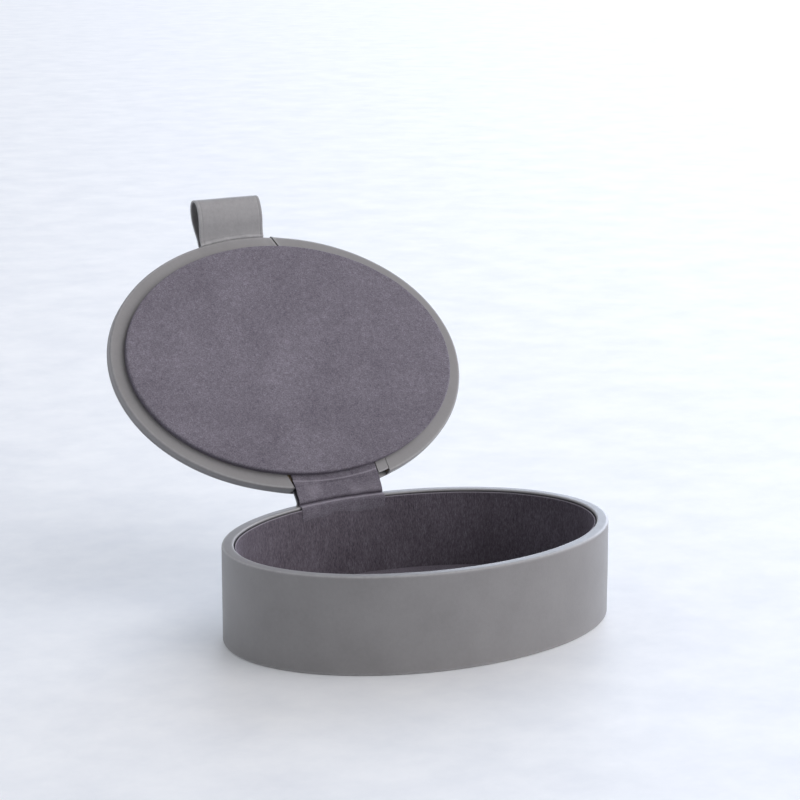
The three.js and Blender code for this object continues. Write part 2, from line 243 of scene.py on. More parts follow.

# %% [markdown]
# ### Smooth calf leather
#
# The outside is a dyed and finished calf leather, as on wallets. The finish is a thin semi-matte film, so
# the eye gets an even mid grey, a soft wide highlight, and a strong sheen at grazing angles. Up close it
# has a shallow pebble grain, hairline creases, and a slightly uneven dye. A pebble is really a third of a
# millimetre across, too fine to show, so it is drawn half a millimetre across.
#
# Where the skin is turned over an edge it is stretched and scuffed, so it is paler there, and the same pale
# colour also paints a highlight on folds and rounded edges. Where it lies in a narrow gap, painted shade
# makes it nearly black. Each mesh says where with one number per point: one for the pale edges, partly wear
# and partly painted highlight, and one for the painted shade in gaps.


# %% Smooth calf leather
PEBBLE = 0.55
CREASE_FIELD = 3.2
GRAIN_DEPTH = 0.035
# The nearly black colour of painted shade in gaps and recesses.
PAINTED_SHADE_COLOUR = "#1f1d20"


def calf_leather(name, dye, dye_pale, wear_and_highlight_colour):
    """Calf leather dyed between two shades, with the pale colour of its edges, for their wear and for
    painted highlight.
    """
    material, tree, shader, place = new_material(name)
    clouds = noise_of(tree, place, 14, detail=3)
    fibres = noise_of(tree, place, 1.6, detail=4, roughness=0.6)
    tone = total(tree, (clouds, 0.6), (fibres, 0.4))
    colour = blend_colour(tree, spread(tree, tone, 0.35, 0.65), linear(dye), linear(dye_pale))
    # Paler edges: partly wear, partly painted highlight, where the mesh marks them.
    wear_and_highlight = add(tree, "ShaderNodeAttribute", attribute_name="wear_and_highlight").outputs["Fac"]
    rubbed_and_highlight = spread(tree, fibres, 0.3, 0.7, 0.6, 1.0)
    patchy = add(tree, "ShaderNodeMath", {0: wear_and_highlight, 1: rubbed_and_highlight}, operation="MULTIPLY").outputs[0]
    colour = blend_colour(tree, patchy, colour, linear(wear_and_highlight_colour))
    # Painted shade: nearly black where the mesh marks gaps and recesses.
    painted_shade = add(tree, "ShaderNodeAttribute", attribute_name="painted_shade").outputs["Fac"]
    colour = blend_colour(tree, painted_shade, colour, linear(PAINTED_SHADE_COLOUR))
    tree.links.new(colour, shader.inputs["Base Color"])

    warp = add(tree, "ShaderNodeTexNoise", {"Vector": place, "Scale": 1.5, "Detail": 1.0})
    offset_inputs = {0: warp.outputs["Color"], "Scale": 0.35}
    offset = add(tree, "ShaderNodeVectorMath", offset_inputs, operation="SCALE")
    spot_inputs = {0: place, 1: offset.outputs[0]}
    spot = add(tree, "ShaderNodeVectorMath", spot_inputs, operation="ADD").outputs[0]
    pebble = add(tree, "ShaderNodeTexVoronoi", {"Vector": spot, "Scale": 1 / PEBBLE}).outputs["Distance"]
    crease_inputs = {"Vector": spot, "Scale": 1 / CREASE_FIELD}
    crease = add(tree, "ShaderNodeTexVoronoi", crease_inputs, feature="DISTANCE_TO_EDGE")
    crease_line = spread(tree, crease.outputs["Distance"], 0.0, 0.05)
    height = total(tree, (pebble, -0.45), (crease_line, 0.25), (fibres, 0.5))
    set_bump(tree, shader, height, GRAIN_DEPTH)
    tree.links.new(spread(tree, fibres, 0.3, 0.7, 0.43, 0.53), shader.inputs["Roughness"])
    shader.inputs["IOR"].default_value = 1.5
    shader.inputs["Coat Weight"].default_value = 0.12
    shader.inputs["Coat Roughness"].default_value = 0.32
    return material


grey_calf = calf_leather("grey_calf", "#828080", "#8a8888", "#bcbbbc")
strap_calf = calf_leather("strap_calf", "#68666a", "#706e72", "#8b898d")
print("leathers:", grey_calf.name, strap_calf.name)

# %% [markdown]
# ### Suede
#
# The lining is a thin split suede: the flesh side of the skin, sanded until short fibres stand up. They
# scatter light, so suede has no highlight, but a faint bright sheen along edges. The nap lies in slightly
# different directions from place to place, which shows as soft lighter and darker clouds, and the fibre
# ends give a fine speckle. Fibres are really a tenth of a millimetre apart, too fine to show, so the
# speckle is drawn half a millimetre wide. On the walls the nap is brushed upright, and the speckle becomes
# short streaks.
#
# Nap that is bent open over an edge shows its paler roots, and the same pale colour also paints a highlight
# on edges and bends. Flattened nap is darker, and the same dark colour also paints shade in folds and on
# sides and stretches that lie in shadow. Each mesh says where with one number per point: one for the pale
# places, and one for the dark ones.


# %% Suede
FIBRE_SPECKLE = 0.55
NAP_DEPTH = 0.3
# Pale colour for scuffed nap and painted highlight; dark colour for flattened nap and painted shade.
RUBBED_AND_HIGHLIGHT_COLOUR = "#b5afb8"
SHADE_AND_PRESSED_NAP_COLOUR = "#47414a"


def split_suede(name, shade, base, light, streak=(1, 1, 1)):
    """Split suede in three shades. streak stretches its speckle along x, y and z."""
    material, tree, shader, place = new_material(name)
    brushed = noise_of(tree, place, 20, detail=3, roughness=0.55)
    tufts = noise_of(tree, place, 2.0, detail=2, roughness=0.6, stretch=streak)
    fibres = noise_of(tree, place, FIBRE_SPECKLE, detail=2, roughness=0.75, stretch=streak)
    tone = total(tree, (brushed, 0.2), (tufts, 0.2), (fibres, 0.6))
    low = blend_colour(tree, spread(tree, tone, 0.33, 0.5), linear(shade), linear(base))
    colour = blend_colour(tree, spread(tree, tone, 0.5, 0.67), low, linear(light))
    # Paler: scuffed nap and painted highlight.
    rubbed_and_highlight = add(tree, "ShaderNodeAttribute", attribute_name="rubbed_and_highlight").outputs["Fac"]
    colour = blend_colour(tree, rubbed_and_highlight, colour, linear(RUBBED_AND_HIGHLIGHT_COLOUR))
    # Darker: flattened nap and painted shade.
    shade_and_pressed_nap = add(tree, "ShaderNodeAttribute", attribute_name="shade_and_pressed_nap").outputs["Fac"]
    colour = blend_colour(tree, shade_and_pressed_nap, colour, linear(SHADE_AND_PRESSED_NAP_COLOUR))
    tree.links.new(colour, shader.inputs["Base Color"])
    height = total(tree, (fibres, 0.7), (tufts, 0.3))
    set_bump(tree, shader, height, NAP_DEPTH)
    shader.inputs["Roughness"].default_value = 0.95
    shader.inputs["Specular IOR Level"].default_value = 0.15
    shader.inputs["Sheen Weight"].default_value = 0.35
    shader.inputs["Sheen Roughness"].default_value = 0.45
    shader.inputs["Sheen Tint"].default_value = linear("#b9b2bf")
    return material


lid_suede = split_suede("lid_suede", "#5c5761", "#77727b", "#928d97")
wall_suede = split_suede("wall_suede", "#4b444c", "#655f67", "#807983", streak=(0.8, 0.8, 2.6))
print("suedes:", lid_suede.name, wall_suede.name)

# %% [markdown]
# ### Hidden materials
#
# Inside are fibreboard, grey card and thin foam sheet, and a brushed dark cloth covers the underside. They
# barely show, but each still gets its own surface: flecked fibres for the boards, open cells for the foam,
# and a nap for the cloth.


# %% Board, card, foam and base cloth
def flecked(name, colour, fleck_colour, fleck_size, depth, roughness, stretch=(1, 1, 1)):
    """A matte stuff with flecks of another colour, fleck_size millimetres across and depth deep."""
    material, tree, shader, place = new_material(name)
    flecks = noise_of(tree, place, fleck_size, detail=4, roughness=0.65, stretch=stretch)
    share = spread(tree, flecks, 0.4, 0.68)
    mottled = blend_colour(tree, share, linear(colour), linear(fleck_colour))
    tree.links.new(mottled, shader.inputs["Base Color"])
    set_bump(tree, shader, flecks, depth)
    shader.inputs["Roughness"].default_value = roughness
    return material


fibreboard = flecked("fibreboard", "#a08e74", "#86745c", 0.8, 0.05, 0.85, stretch=(3, 1, 1))
grey_card = flecked("grey_card", "#9a9088", "#7f766e", 0.5, 0.03, 0.9)
foam_sheet = flecked("foam_sheet", "#d6d2cb", "#aaa69f", 0.7, 0.25, 1.0)
base_cloth = flecked("base_cloth", "#46434a", "#5a565e", 0.45, 0.15, 0.95, stretch=(1, 2.5, 1))
print("hidden materials:", fibreboard.name, grey_card.name, foam_sheet.name, base_cloth.name)

# %% [markdown]
# ## Drawing an oval shell
#
# Every shell is the same oval, moved in or out by a distance measured square to its edge, which the maker
# would call its inset. So a shell's section is a short list of corners, each with an inset, a height and a
# radius. The corners are rounded, and the section is swept round the oval. Beside each rounded corner a
# guard point holds the flat part flat, so that smooth shading doesn't bleed along it.


# %% Ovals and sections
def oval(angle, inset):
    """x and y on the oval at these angles, moved in by inset."""
    cos, sin = np.cos(angle), np.sin(angle)
    across = np.hypot(HALF_WIDTH * cos, HALF_LENGTH * sin)
    x = HALF_LENGTH * cos - inset * HALF_WIDTH * cos / across
    y = HALF_WIDTH * sin - inset * HALF_LENGTH * sin / across
    return x, y


def angle_at(x, inset, side):
    """The angle where the oval moved in by inset has this x. side is 1 at the back, -1 at the front."""
    angle = side * np.arccos(x / HALF_LENGTH)
    for _ in range(12):
        across = np.hypot(HALF_WIDTH * np.cos(angle), HALF_LENGTH * np.sin(angle))
        angle = side * np.arccos(x / (HALF_LENGTH - inset * HALF_WIDTH / across))
    return angle


def rounded(corners, steps=6, guard=0.3):
    """A closed outline from (inset, height, radius) corners, with each corner rounded."""
    spots = np.array([corner[:2] for corner in corners], float)
    outline = []
    for i, (_, _, radius) in enumerate(corners):
        here = spots[i]
        before, after = spots[i - 1] - here, spots[(i + 1) % len(spots)] - here
        for_way, on_way = before / np.linalg.norm(before), after / np.linalg.norm(after)
        if radius == 0:
            outline.append(here)
            continue
        start, end = here + for_way * radius, here + on_way * radius
        if np.linalg.norm(before) > 2 * (radius + guard):
            outline.append(start + for_way * guard)
        for share in np.linspace(0, 1, steps + 1):
            outline.append((1 - share) ** 2 * start + 2 * share * (1 - share) * here + share**2 * end)
        if np.linalg.norm(after) > 2 * (radius + guard):
            outline.append(end + on_way * guard)
    return np.array(outline)


def long_sides_split(outline, longest):
    """The outline with points added so that no step is longer than longest."""
    points = []
    for here, there in zip(outline, np.roll(outline, -1, axis=0)):
        steps = max(1, math.ceil(np.linalg.norm(there - here) / longest))
        points += [here + (there - here) * step / steps for step in range(steps)]
    return np.array(points)


def ring_loops(outline, angles):
    """The outline placed at each angle: an array of loops of x, y, z."""
    x, y = oval(angles.reshape(len(angles), -1), outline[:, 0])
    return np.stack([x, y, np.broadcast_to(outline[:, 1], x.shape)], axis=-1)


STATIONS = 256
all_round = np.linspace(0, 2 * math.pi, STATIONS, endpoint=False)
print("an oval has", STATIONS, "stations")

# %% [markdown]
# Loops are skinned with quads. A skin that closes on itself needs nothing more, and one that stops gets a
# face at each end. Skins of real leather are never perfectly even, so a slow noise moves the points a few
# hundredths of a millimetre, which the highlight shows as hand work.


# %% Making meshes from loops
def skin_faces(loops, closed):
    """Quads between neighbouring loops, and a face on each end unless the skin is closed."""
    rows, columns = loops.shape[:2]
    faces = []
    for row in range(rows if closed else rows - 1):
        below, above = row * columns, (row + 1) % rows * columns
        for i in range(columns):
            j = (i + 1) % columns
            faces.append((below + i, below + j, above + j, above + i))
    if not closed:
        faces.append(tuple(range(columns)))
        faces.append(tuple(range((rows - 1) * columns, rows * columns)))
    return faces


# The noise starts from a set seed, so that every run gives the same meshes.
noise.seed_set(7)


def uneven(points, amount, size, seed):
    """The points moved by up to amount, by a smooth noise with lumps of that size."""
    flat = points.reshape(-1, 3)
    away = Vector((seed * 17.3, seed * 5.1, seed * 9.7))
    push = [noise.noise_vector(Vector(point) / size + away) for point in flat]
    return (flat + amount * np.array(push)).reshape(points.shape)


def make_piece(name, points, faces, material, sharp=50):
    """A mesh object from points in millimetres, with its faces turned outwards and smooth."""
    mesh = bpy.data.meshes.new(name)
    mesh.from_pydata((points.reshape(-1, 3) * MM).tolist(), [], faces)
    tidy = bmesh.new()
    tidy.from_mesh(mesh)
    bmesh.ops.recalc_face_normals(tidy, faces=tidy.faces)
    tidy.to_mesh(mesh)
    tidy.free()
    mesh.shade_smooth()
    mesh.set_sharp_from_angle(angle=math.radians(sharp))
    mesh.materials.append(material)
    piece = bpy.data.objects.new(name, mesh)
    bpy.context.scene.collection.objects.link(piece)
    print(f"{name}: {len(mesh.vertices)} points, {len(mesh.polygons)} faces")
    return piece


def mark(piece, name, values):
    """Stores one number per point on the mesh, for its material to read."""
    attribute = piece.data.attributes.new(name, "FLOAT", "POINT")
    attribute.data.foreach_set("value", np.asarray(values, np.float32).ravel())


def near(values, centre, width):
    """1 at the centre, falling smoothly to 0 about width away."""
    return np.exp(-(((values - centre) / width) ** 2))


# %% [markdown]
# ## The wrapped wall
#
# One strip of calf leather goes round the wall. It is glued down the outside, turned over the rim and 15 mm
# down the inside, and turned under the floor, where it gathers in small pleats. Its rim is the part that
# the hand meets, so its two corners are rounded by the leather's own thickness, and are painted paler,
# partly for wear and partly as painted highlight. It is swept as one closed section. Its foot is kept from
# dipping through the surface that the case stands on. The part that is turned in faces the lining across a
# narrow gap, and the shade in that gap is painted on it, nearly black.

# %% Leather wrap
EDGE_ROUND = 1.15
inner_end = BODY_HEIGHT - TURN_IN_DEPTH
wrap_outline = long_sides_split(
    rounded(
        [
            (BOTTOM_TURN_IN, 0.05, 0),
            (0, 0, EDGE_ROUND),
            (0, BODY_HEIGHT, EDGE_ROUND),
            (RIM_WIDTH, BODY_HEIGHT, EDGE_ROUND * 0.9),
            (RIM_WIDTH, inner_end, 0),
            (RIM_WIDTH - LEATHER, inner_end, 0),
            (RIM_WIDTH - LEATHER, BODY_HEIGHT - LEATHER, 0.2),
            (LEATHER, BODY_HEIGHT - LEATHER, 0.2),
            (LEATHER, LEATHER, 0.2),
            (BOTTOM_TURN_IN, LEATHER, 0),
        ]
    ),
    3.0,
)
wrap_loops = ring_loops(wrap_outline, all_round)
wrap_inset, wrap_height = wrap_outline[:, 0], wrap_outline[:, 1]

PLEATS = 64
PLEAT_DEPTH = 0.16
PLEAT_START = 1.6
under = (wrap_inset > PLEAT_START) & (wrap_height < 0.5)
pleat = np.abs(np.sin(all_round * PLEATS / 2)) ** 6
pleat_depth = PLEAT_DEPTH * np.clip((wrap_inset - PLEAT_START) / 4, 0, 1) * under
wrap_loops[:, :, 2] += pleat[:, None] * pleat_depth
wrap_loops = uneven(wrap_loops, 0.05, 18, 1)
wrap_loops[..., 2] = np.maximum(wrap_loops[..., 2], 0)
body_wrap = make_piece("leather_wrap", wrap_loops, skin_faces(wrap_loops, True), grey_calf)

# %% Wear, painted highlight and painted shade of the wrap
# Rim corners: paler for wear and for painted highlight. The foot: paler for wear.
rim_corners = near(wrap_inset, 0.3, 0.5) + near(wrap_inset, RIM_WIDTH - 0.3, 0.5)
rim_wear_and_highlight = near(wrap_height, BODY_HEIGHT, 0.5) * rim_corners
foot_wear = near(wrap_height, 0.3, 0.6) * near(wrap_inset, 0.2, 0.6)
mark(body_wrap, "wear_and_highlight", np.tile(0.8 * rim_wear_and_highlight + 0.5 * foot_wear, (STATIONS, 1)))
# Painted shade: the turned-in face between the rim and the lining's top, nearly black.
inner_face = (wrap_inset > RIM_WIDTH - 0.25) & (wrap_height > inner_end - 1)
turned_in = np.clip((BODY_HEIGHT - 0.35 - wrap_height) / 0.4, 0, 1) * inner_face
mark(body_wrap, "painted_shade", np.tile(0.85 * turned_in, (STATIONS, 1)))
print("wrap worn at", int((rim_wear_and_highlight > 0.3).sum()), "and dark at", int((turned_in > 0.3).sum()), "places")

# %% [markdown]
# ## Lining and underside
#
# The lining is one band of suede on a thin card, glued inside the wall. Its top edge is folded, and is
# painted paler, partly as scuffed nap and partly as a painted highlight for the thin line of light it
# catches beyond the dark gap. It stands a little below the rim. The underside is covered by an oval of
# brushed cloth that hides the turned-in leather's edge.

# %% Suede lining
LINING_EDGE = LINING_TOP - 0.25
lining_outline = long_sides_split(
    rounded(
        [
            (RIM_WIDTH + 0.25, FLOOR_TOP, 0),
            (LINING_FACE, FLOOR_TOP, 0),
            (LINING_FACE, LINING_EDGE - 1.6, 0.5),
            (LINING_FACE + 0.12, LINING_EDGE, 0.22),
            (RIM_WIDTH + 0.4, LINING_EDGE, 0.15),
            (RIM_WIDTH + 0.25, LINING_EDGE - 1.2, 0),
        ]
    ),
    2.0,
)
lining_loops = ring_loops(lining_outline, all_round)
lining_faces = skin_faces(lining_loops, True)
wall_lining = make_piece("wall_lining", uneven(lining_loops, 0.07, 14, 2), lining_faces, wall_suede)
# Painted highlight, partly scuffed nap, along the lining's folded top edge.
folded_edge = 0.5 * near(lining_outline[:, 1], LINING_EDGE, 0.3)
mark(wall_lining, "rubbed_and_highlight", np.tile(folded_edge, (STATIONS, 1)))

# %% Base cloth
cover_outline = np.array(
    [
        (BOTTOM_TURN_IN + 0.3, 0.12),
        (BOTTOM_TURN_IN, 0.12),
        (BOTTOM_TURN_IN, 0.7),
        (BOTTOM_TURN_IN + 0.3, 0.9),
    ]
)
cover_loops = ring_loops(cover_outline, all_round).transpose(1, 0, 2)
base_cover = make_piece("base_cloth_cover", cover_loops, skin_faces(cover_loops, False), base_cloth)

# %% [markdown]
# ## Padded ovals
#
# The floor and the lid are padded: suede is stretched over foam on a card and turned under. Such a pad is a
# flat oval with soft edges, and its face rises a little where the foam pushes. The face is drawn as a
# square grid squeezed onto the oval, which has no pole in the middle, and a skirt of loops runs down its
# side. A short cloth simulation then blows the face up against its own stiffness, with the skirt pinned,
# and its rise is scaled to the real one. The side of a pad stands in shadow beside its neighbour, and that
# shade is painted on its nap as a darker colour.


# %% Pad mesh
GRID = 64


def squeezed_grid(size):
    """A square grid of unit points squeezed onto a disc, its faces, and its rim in order."""
    steps = np.linspace(-1, 1, size + 1)
    u, v = np.meshgrid(steps, steps, indexing="ij")
    disc = np.stack([u * np.sqrt(1 - v**2 / 2), v * np.sqrt(1 - u**2 / 2)], axis=-1).reshape(-1, 2)
    index = np.arange((size + 1) ** 2).reshape(size + 1, size + 1)
    faces = [
        (index[i, j], index[i + 1, j], index[i + 1, j + 1], index[i, j + 1])
        for i in range(size)
        for j in range(size)
    ]
    rim = np.concatenate([index[:-1, 0], index[-1, :-1], index[:0:-1, -1], index[0, :0:-1]])
    return disc, [tuple(int(k) for k in face) for face in faces], rim


print("a pad's face has", GRID * GRID, "quads")


# %% Pad skirt
def pad_points(inset, base, face, edge):
    """Points and faces of a pad between the heights base and face, and which points its face has."""
    disc, faces, rim = squeezed_grid(GRID)
    angles = np.arctan2(disc[rim, 1], disc[rim, 0])
    way = math.copysign(1, face - base)
    flat_inset = inset + edge
    rim_x, rim_y = oval(angles, flat_inset)
    grid_angles = np.arctan2(disc[:, 1], disc[:, 0])
    reach = np.hypot(disc[:, 0], disc[:, 1])
    edge_x, edge_y = oval(grid_angles, flat_inset)
    points = [np.stack([edge_x * reach, edge_y * reach, np.full(len(disc), face)], axis=-1)]
    points[0][rim, 0], points[0][rim, 1] = rim_x, rim_y
    turns = np.linspace(0, math.pi / 2, 7)[1:]
    skirt = [(inset + edge * (1 - math.sin(t)), face - way * edge * (1 - math.cos(t))) for t in turns]
    side = abs(face - base) - edge
    skirt += [(inset + 0.12, face - way * (edge + side * share)) for share in (0.35, 0.7)]
    skirt += [(inset + 0.25, base), (inset + 1.5, base)]
    previous = [int(k) for k in rim]
    count = len(disc)
    for skirt_inset, height in skirt:
        x, y = oval(angles, skirt_inset)
        points.append(np.stack([x, y, np.full(len(x), height)], axis=-1))
        here = [count + k for k in range(len(rim))]
        for k in range(len(rim)):
            j = (k + 1) % len(rim)
            faces.append((previous[k], previous[j], here[j], here[k]))
        previous = here
        count += len(rim)
    faces.append(tuple(previous))
    return np.concatenate(points), faces, len(disc)


# %% Blowing a pad up
SIMULATED_FRAMES = 20


def blown(points, faces, free, rise, way):
    """The pad's points after its face has been blown up by a cloth simulation, to that rise."""
    cloth_object = make_piece("pad_blank", points, faces, lid_suede)
    pinned = cloth_object.vertex_groups.new(name="pinned")
    pinned.add(list(range(free, len(points))), 1.0, "REPLACE")
    cloth = cloth_object.modifiers.new("blow", "CLOTH")
    cloth.settings.vertex_group_mass = "pinned"
    cloth.settings.use_pressure = True
    cloth.settings.uniform_pressure_force = 4.0
    cloth.settings.mass = 0.2
    cloth.settings.quality = 5
    cloth.settings.tension_stiffness = 25
    cloth.settings.bending_stiffness = 2
    cloth.settings.effector_weights.gravity = 0
    scene = bpy.context.scene
    for step in range(1, SIMULATED_FRAMES + 1):
        scene.frame_set(step)
    shaped = cloth_object.evaluated_get(bpy.context.evaluated_depsgraph_get())
    after = np.array([vertex.co for vertex in shaped.data.vertices], float) / MM
    scene.frame_set(1)
    bpy.data.objects.remove(cloth_object)
    lift = (after[:free, 2] - points[:free, 2]) * way
    lift = np.clip(lift, 0, None)
    print(f"simulated rise {lift.max():.2f} mm, scaled to {rise} mm")
    points[:free, 2] += way * rise * lift / max(lift.max(), 1e-6)
    return points


def make_pad(name, inset, base, face, edge, rise, material, seed):
    """A padded oval whose face points up or down, as face lies above or below base."""
    points, faces, free = pad_points(inset, base, face, edge)
    way = math.copysign(1, face - base)
    points = blown(points, faces, free, rise, way)
    lumps = uneven(points, 0.12, 9, seed) - points
    points[:, 2] += lumps[:, 2] * (np.abs(points[:, 2] - base) > 0.3)
    pad = make_piece(name, points, faces, material)
    # Painted shade on the pad's side, below its face.
    mark(pad, "shade_and_pressed_nap", 0.5 * np.clip((np.abs(points[:, 2] - face) - 0.5) / 0.5, 0, 1))
    return pad


# %% Floor pad and lid pad
floor_base, floor_face = FLOOR_TOP + 0.1, FLOOR_PAD_TOP - 0.25
floor_pad = make_pad("floor_pad", LINING_FACE + 0.15, floor_base, floor_face, 1.1, 0.5, wall_suede, 4)
lid_base, lid_face = LID_BOTTOM - 0.15, LID_PAD_FACE + 0.2
lid_pad = make_pad("lid_pad", LID_PAD_INSET, lid_base, lid_face, 0.7, 0.35, lid_suede, 5)
lid_pad.data.transform(Matrix.Scale(MM, 4) @ swing_open @ Matrix.Scale(1 / MM, 4))

# %% [markdown]
# ## The lid's leather
#
# The outside of the lid is one oval of leather. The end of the hinge's leather strap is glued under it at
# the back, and raises it there by the strap's thickness. A second, narrow strip goes round the edge and is
# turned in under the lid as a flat ring behind the pad. It is made of two lengths that meet in a butt seam
# at the front, cut on a slant, where the right one stands up a little. Each length stops at its own side of
# the hinge.

# %% Lid top leather
SKIN_LOW = LID_TOP - LEATHER
STRAP_MIDDLE = -0.6
STRAP_REACH = 14


def over_strap(points):
    """The lid's outer skins, raised where the end of the leather strap is glued under them."""
    beyond = np.clip(np.abs(points[..., 0] - STRAP_MIDDLE) - 17.5, 0, None)
    reach = points[..., 1] / (HALF_WIDTH - STRAP_REACH)
    share = np.exp(-((beyond / 8) ** 2)) / (1 + np.exp((1 - reach) / 0.06))
    outer = np.clip((points[..., 2] - LID_BOTTOM - 1) / 2, 0, 1)
    points[..., 2] += LEATHER * share * outer
    return points


def top_leather_points():
    """The lid's top leather: a face as a squeezed grid, and a skirt that turns over the lid's edge."""
    points, faces, _ = pad_points(LID_EDGE, SKIN_LOW, LID_TOP, 0.8)
    return over_strap(uneven(points, 0.06, 20, 6)), faces


top_points, top_faces = top_leather_points()
lid_top = make_piece("lid_top_leather_skin", moved(top_points, swing_open), top_faces, grey_calf)
mark(lid_top, "wear_and_highlight", 0.6 * near(top_points[:, 2], LID_TOP - 0.5, 0.35))

# %% Section of the lid's edge strips
STRIP_LEFT = -20.0
STRAP_RIGHT = 19.8
NOTCH_RIGHT = 25.6
SEAM_X = 12.6
SEAM_SLANT = math.radians(20)
SEAM_GAP = 0.3
TAB_X = -5.7
TAB_HALF = 15.1
TAB_STEP = 0.21

strip_outline = long_sides_split(
    rounded(
        [
            (LID_RING, LID_BOTTOM, 0),
            (LID_EDGE, LID_BOTTOM, 1.0),
            (LID_EDGE, SKIN_LOW - 0.12, 0.25),
            (LID_EDGE + LEATHER, SKIN_LOW - 0.12, 0),
            (LID_EDGE + LEATHER, LID_BOTTOM + LEATHER, 0.2),
            (LID_RING, LID_BOTTOM + LEATHER, 0),
        ]
    ),
    1.2,
)


def strip_loops(start, end, count):
    """The strip's outline swept from the start angles to the end angles, one of each per point."""
    share = np.linspace(0, 1, count)[:, None]
    return ring_loops(strip_outline, start + (end - start) * share)


def over_tab(loops):
    """Lifts the turned-in leather where the tab's root lies under it, with a crisp step on each side."""
    x, y, z = loops[..., 0], loops[..., 1], loops[..., 2]
    under = 1 / (1 + np.exp((np.abs(x - TAB_X) - TAB_HALF) / 0.16))
    facing_out = np.clip((LID_BOTTOM + 0.5 - z) / 0.4, 0, 1)
    loops[..., 2] -= TAB_STEP * under * facing_out * (y < 0)
    return loops


print("an edge strip's section has", len(strip_outline), "points")


# %% Lid edge strips
def make_strip(name, start, end, count, lift, seed):
    """One length of the edge strip. lift is how far it stands up at the seam."""
    loops = over_tab(strip_loops(start, end, count))
    from_seam = np.abs(loops[..., 0] - (SEAM_X + strip_outline[:, 0] * math.tan(SEAM_SLANT)))
    front = loops[..., 1] < 0
    outwards = loops[..., :2] / np.linalg.norm(loops[..., :2], axis=-1, keepdims=True)
    loops[..., :2] += outwards * (lift * np.exp(-from_seam / 2.2) * front)[..., None]
    loops[..., 2] -= 0.35 * lift * np.exp(-from_seam / 1.6) * front
    points = moved(over_strap(uneven(loops, 0.05, 12, seed)), swing_open)
    strip = make_piece(name, points, skin_faces(loops, False), grey_calf)
    # Painted highlight, partly wear, along the fold at the lid's lower edge; the cut ends at the seam paler
    # for wear.
    fold_wear_and_highlight = near(strip_outline[:, 0], 0.2, 0.5) * near(strip_outline[:, 1], LID_BOTTOM, 0.6)
    ends = near(from_seam, 0, 0.35) * front
    mark(strip, "wear_and_highlight", np.clip(0.4 * fold_wear_and_highlight + 0.5 * ends, 0, 1))
    return strip


strip_inset = strip_outline[:, 0]
seam_line = SEAM_X + strip_inset * math.tan(SEAM_SLANT)
left_cut = STRIP_LEFT - 0.25 * strip_inset - 0.3 * (strip_outline[:, 1] - LID_BOTTOM)
left_start = angle_at(left_cut, strip_inset, 1)
left_end = angle_at(seam_line - SEAM_GAP / 2, strip_inset, -1) + 2 * math.pi
right_start = angle_at(seam_line + SEAM_GAP / 2, strip_inset, -1)
right_end = angle_at(NOTCH_RIGHT, strip_inset, 1)
edge_strip_left = make_strip("edge_strip_left", left_start, left_end, 150, -0.1, 7)
edge_strip_right = make_strip("edge_strip_right", right_start, right_end, 130, 0.5, 8)

# %% [markdown]
# The hinge's cut-out in the lid is wider than the straps, by five millimetres on their right. A small piece
# of leather folds over the board's edge there. Its face is level with the edge strip, and its fold is
# painted paler, partly for wear and partly as painted highlight. Behind its fold it is set back in the
# cut-out, and the shade of that small recess is painted on it, nearly black.

# %% Hinge facing
FACING_LOW = LID_BOTTOM + 0.04
FACING_EDGE = 1.1
FACING_BACK = LID_RING - 1
facing_outline = rounded(
    [
        (FACING_EDGE, FACING_LOW, 0.5),
        (FACING_EDGE, FACING_LOW + LEATHER, 0.3),
        (FACING_EDGE + 0.6, FACING_LOW + 1.6, 0),
        (FACING_EDGE + 0.6, SKIN_LOW - 0.1, 0),
        (FACING_BACK, SKIN_LOW - 0.1, 0),
        (FACING_BACK, FACING_LOW, 0),
    ],
    steps=4,
)
facing_start = angle_at(NOTCH_RIGHT - 0.2, facing_outline[:, 0], 1)
facing_end = angle_at(STRAP_RIGHT + 0.35, facing_outline[:, 0], 1)
facing_share = np.linspace(0, 1, 12)[:, None]
facing_loops = ring_loops(facing_outline, facing_start + (facing_end - facing_start) * facing_share)
facing_faces = skin_faces(facing_loops, False)
hinge_facing = make_piece("hinge_facing", moved(facing_loops, swing_open), facing_faces, grey_calf)
facing_inset, facing_height = facing_outline[:, 0], facing_outline[:, 1]
# Painted highlight, partly wear, along the facing's fold.
facing_fold = near(facing_inset, FACING_EDGE, 0.4) * near(facing_height, FACING_LOW + 0.1, 0.3)
facing_rows = (len(facing_loops), 1)
mark(hinge_facing, "wear_and_highlight", np.tile(0.8 * facing_fold, facing_rows))
# Painted shade on the part set back in the recess.
mark(hinge_facing, "painted_shade", np.tile(0.9 * (facing_height > FACING_LOW + 1), facing_rows))

# %% [markdown]
# ## Straps
#
# A strap is a long thin strip, so it is described by its middle surface: where a point u across it, from -1
# to 1, and t along it lies. Its path is a smooth curve through a few places that a maker would name, some
# on the box and some on the lid. Each place is an inset and a height, so the strap follows the oval's
# curve. Its thickness is laid square to that surface, and its cut edges are slightly rounded.


# %% A strap's path
def back_point(x, inset, height):
    """Places at the back of the box, at x across it."""
    _, y = oval(angle_at(x, inset, 1), inset)
    return np.stack([x, y, np.full_like(x, height)], axis=-1)


